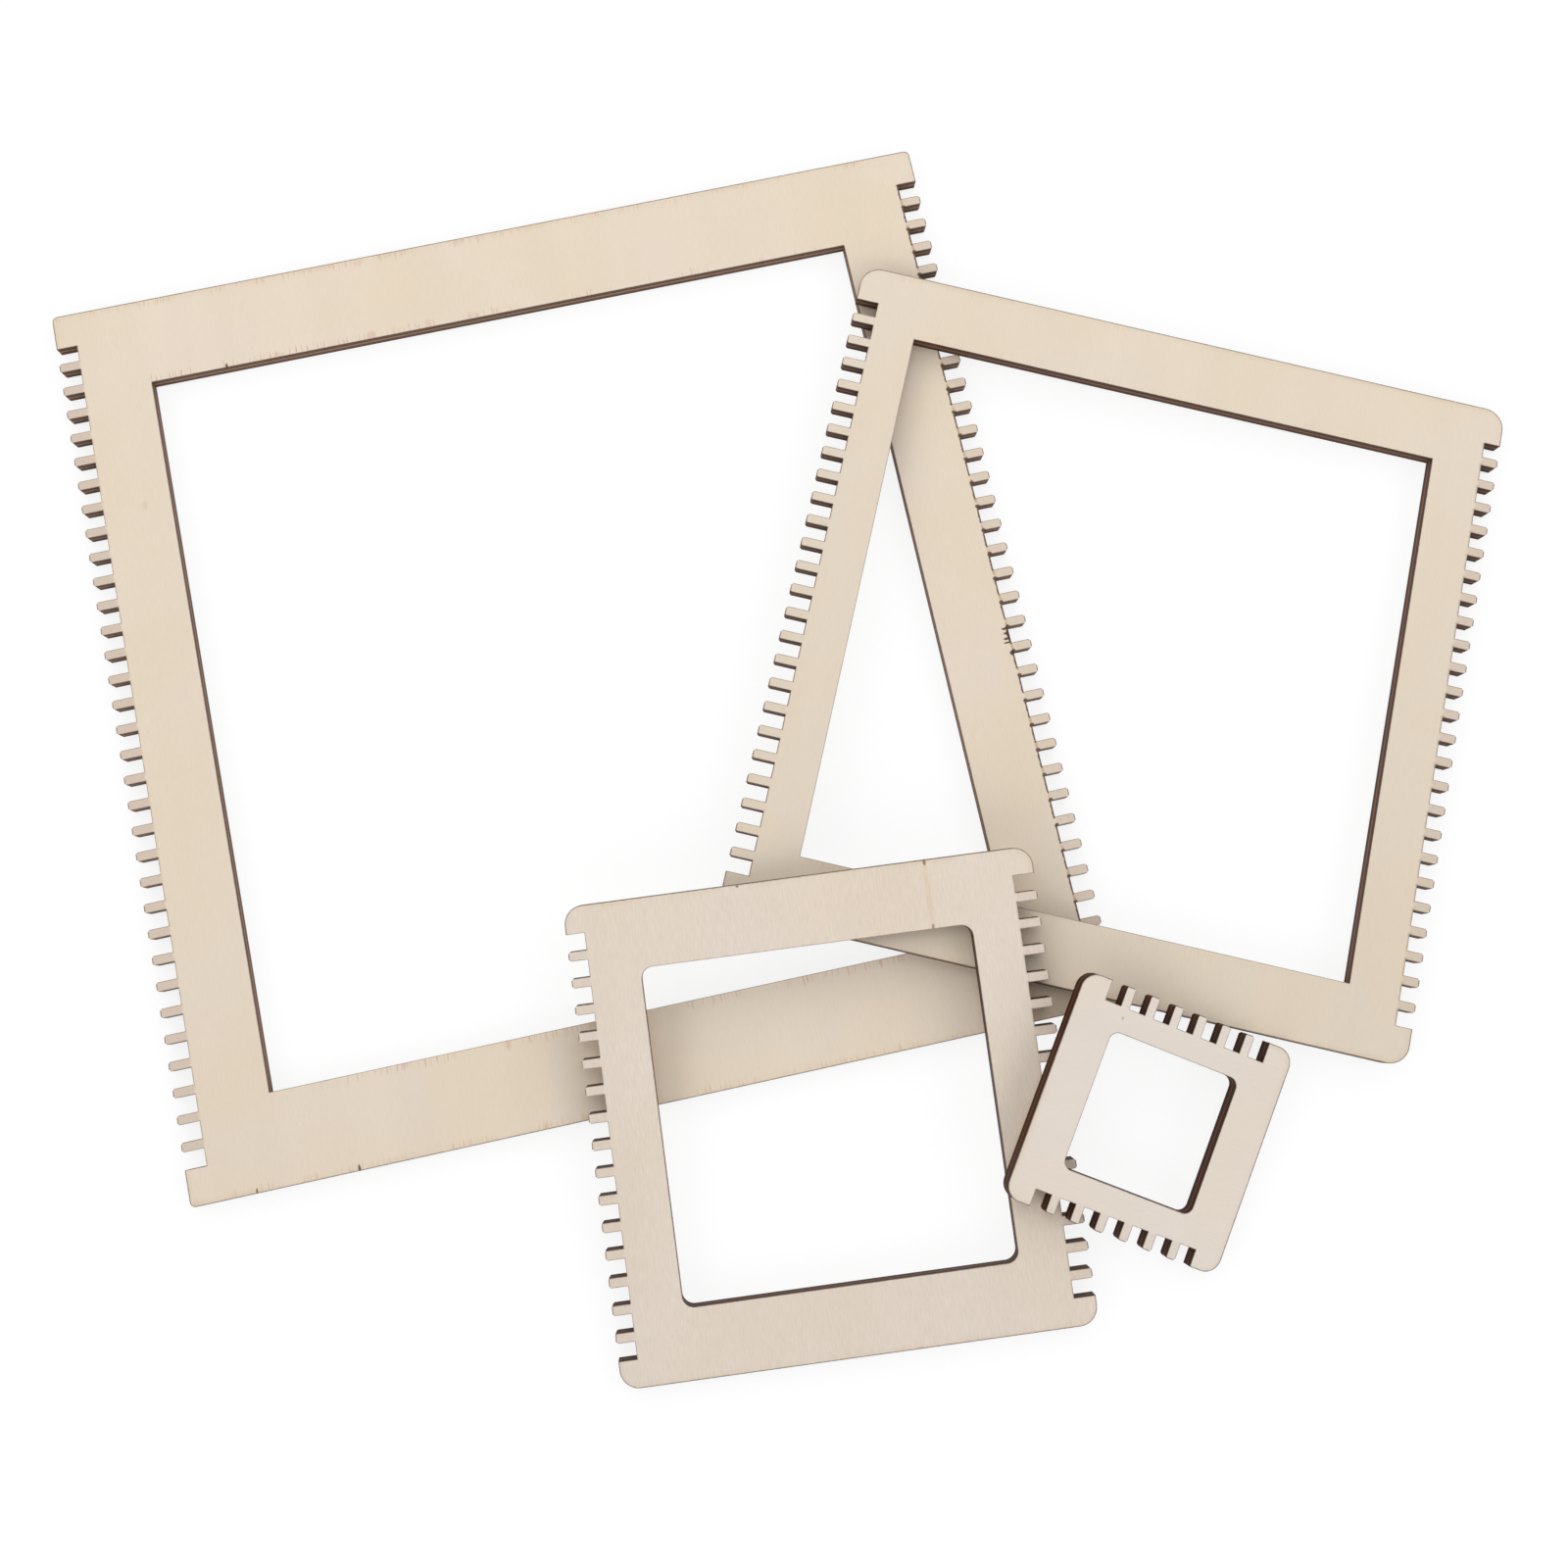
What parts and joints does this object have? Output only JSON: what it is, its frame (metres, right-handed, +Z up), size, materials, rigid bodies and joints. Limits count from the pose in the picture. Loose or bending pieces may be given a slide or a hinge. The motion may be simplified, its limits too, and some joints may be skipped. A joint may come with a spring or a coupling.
{
  "type": "potholder loom set",
  "caption": "Flat square three-ply wooden looms in graded sizes, each with a comb of teeth on two sides for weaving potholders from loops, lying in a loose pile.",
  "frame": {"origin": "middle of the pile's bounding box in plan, on the surface the looms lie on", "axes": "+X along the large loom's plain bars, towards the medium loom; +Y along the large loom's toothed sides, away from the small loom; +Z up, out of the looms' faces"},
  "size_m": [0.3168, 0.262, 0.0154],
  "materials": {
    "face_veneer": "bare pale basswood, fine grain along the toothed sides",
    "core_veneer": "cross-grain core veneer, browned at the cut edge",
    "back_veneer": "bare pale basswood, fine grain along the toothed sides"
  },
  "bodies": {
    "large_loom": {"large_face_ply": "face_veneer", "large_core_ply": "core_veneer", "large_back_ply": "back_veneer"},
    "medium_loom": {"medium_face_ply": "face_veneer", "medium_core_ply": "core_veneer", "medium_back_ply": "back_veneer"},
    "small_loom": {"small_face_ply": "face_veneer", "small_core_ply": "core_veneer", "small_back_ply": "back_veneer"},
    "mini_loom": {"mini_face_ply": "face_veneer", "mini_core_ply": "core_veneer", "mini_back_ply": "back_veneer"}
  },
  "joints": [
    {"name": "medium_lift", "type": "slide", "parent": "large_loom", "child": "medium_loom", "axis": [0, 0, 1], "range_m": [0, 0.08]},
    {"name": "small_lift", "type": "slide", "parent": "medium_loom", "child": "small_loom", "axis": [0, 0, 1], "range_m": [0, 0.06]},
    {"name": "mini_lift", "type": "slide", "parent": "small_loom", "child": "mini_loom", "axis": [0, 0, 1], "range_m": [0, 0.04]}
  ]
}
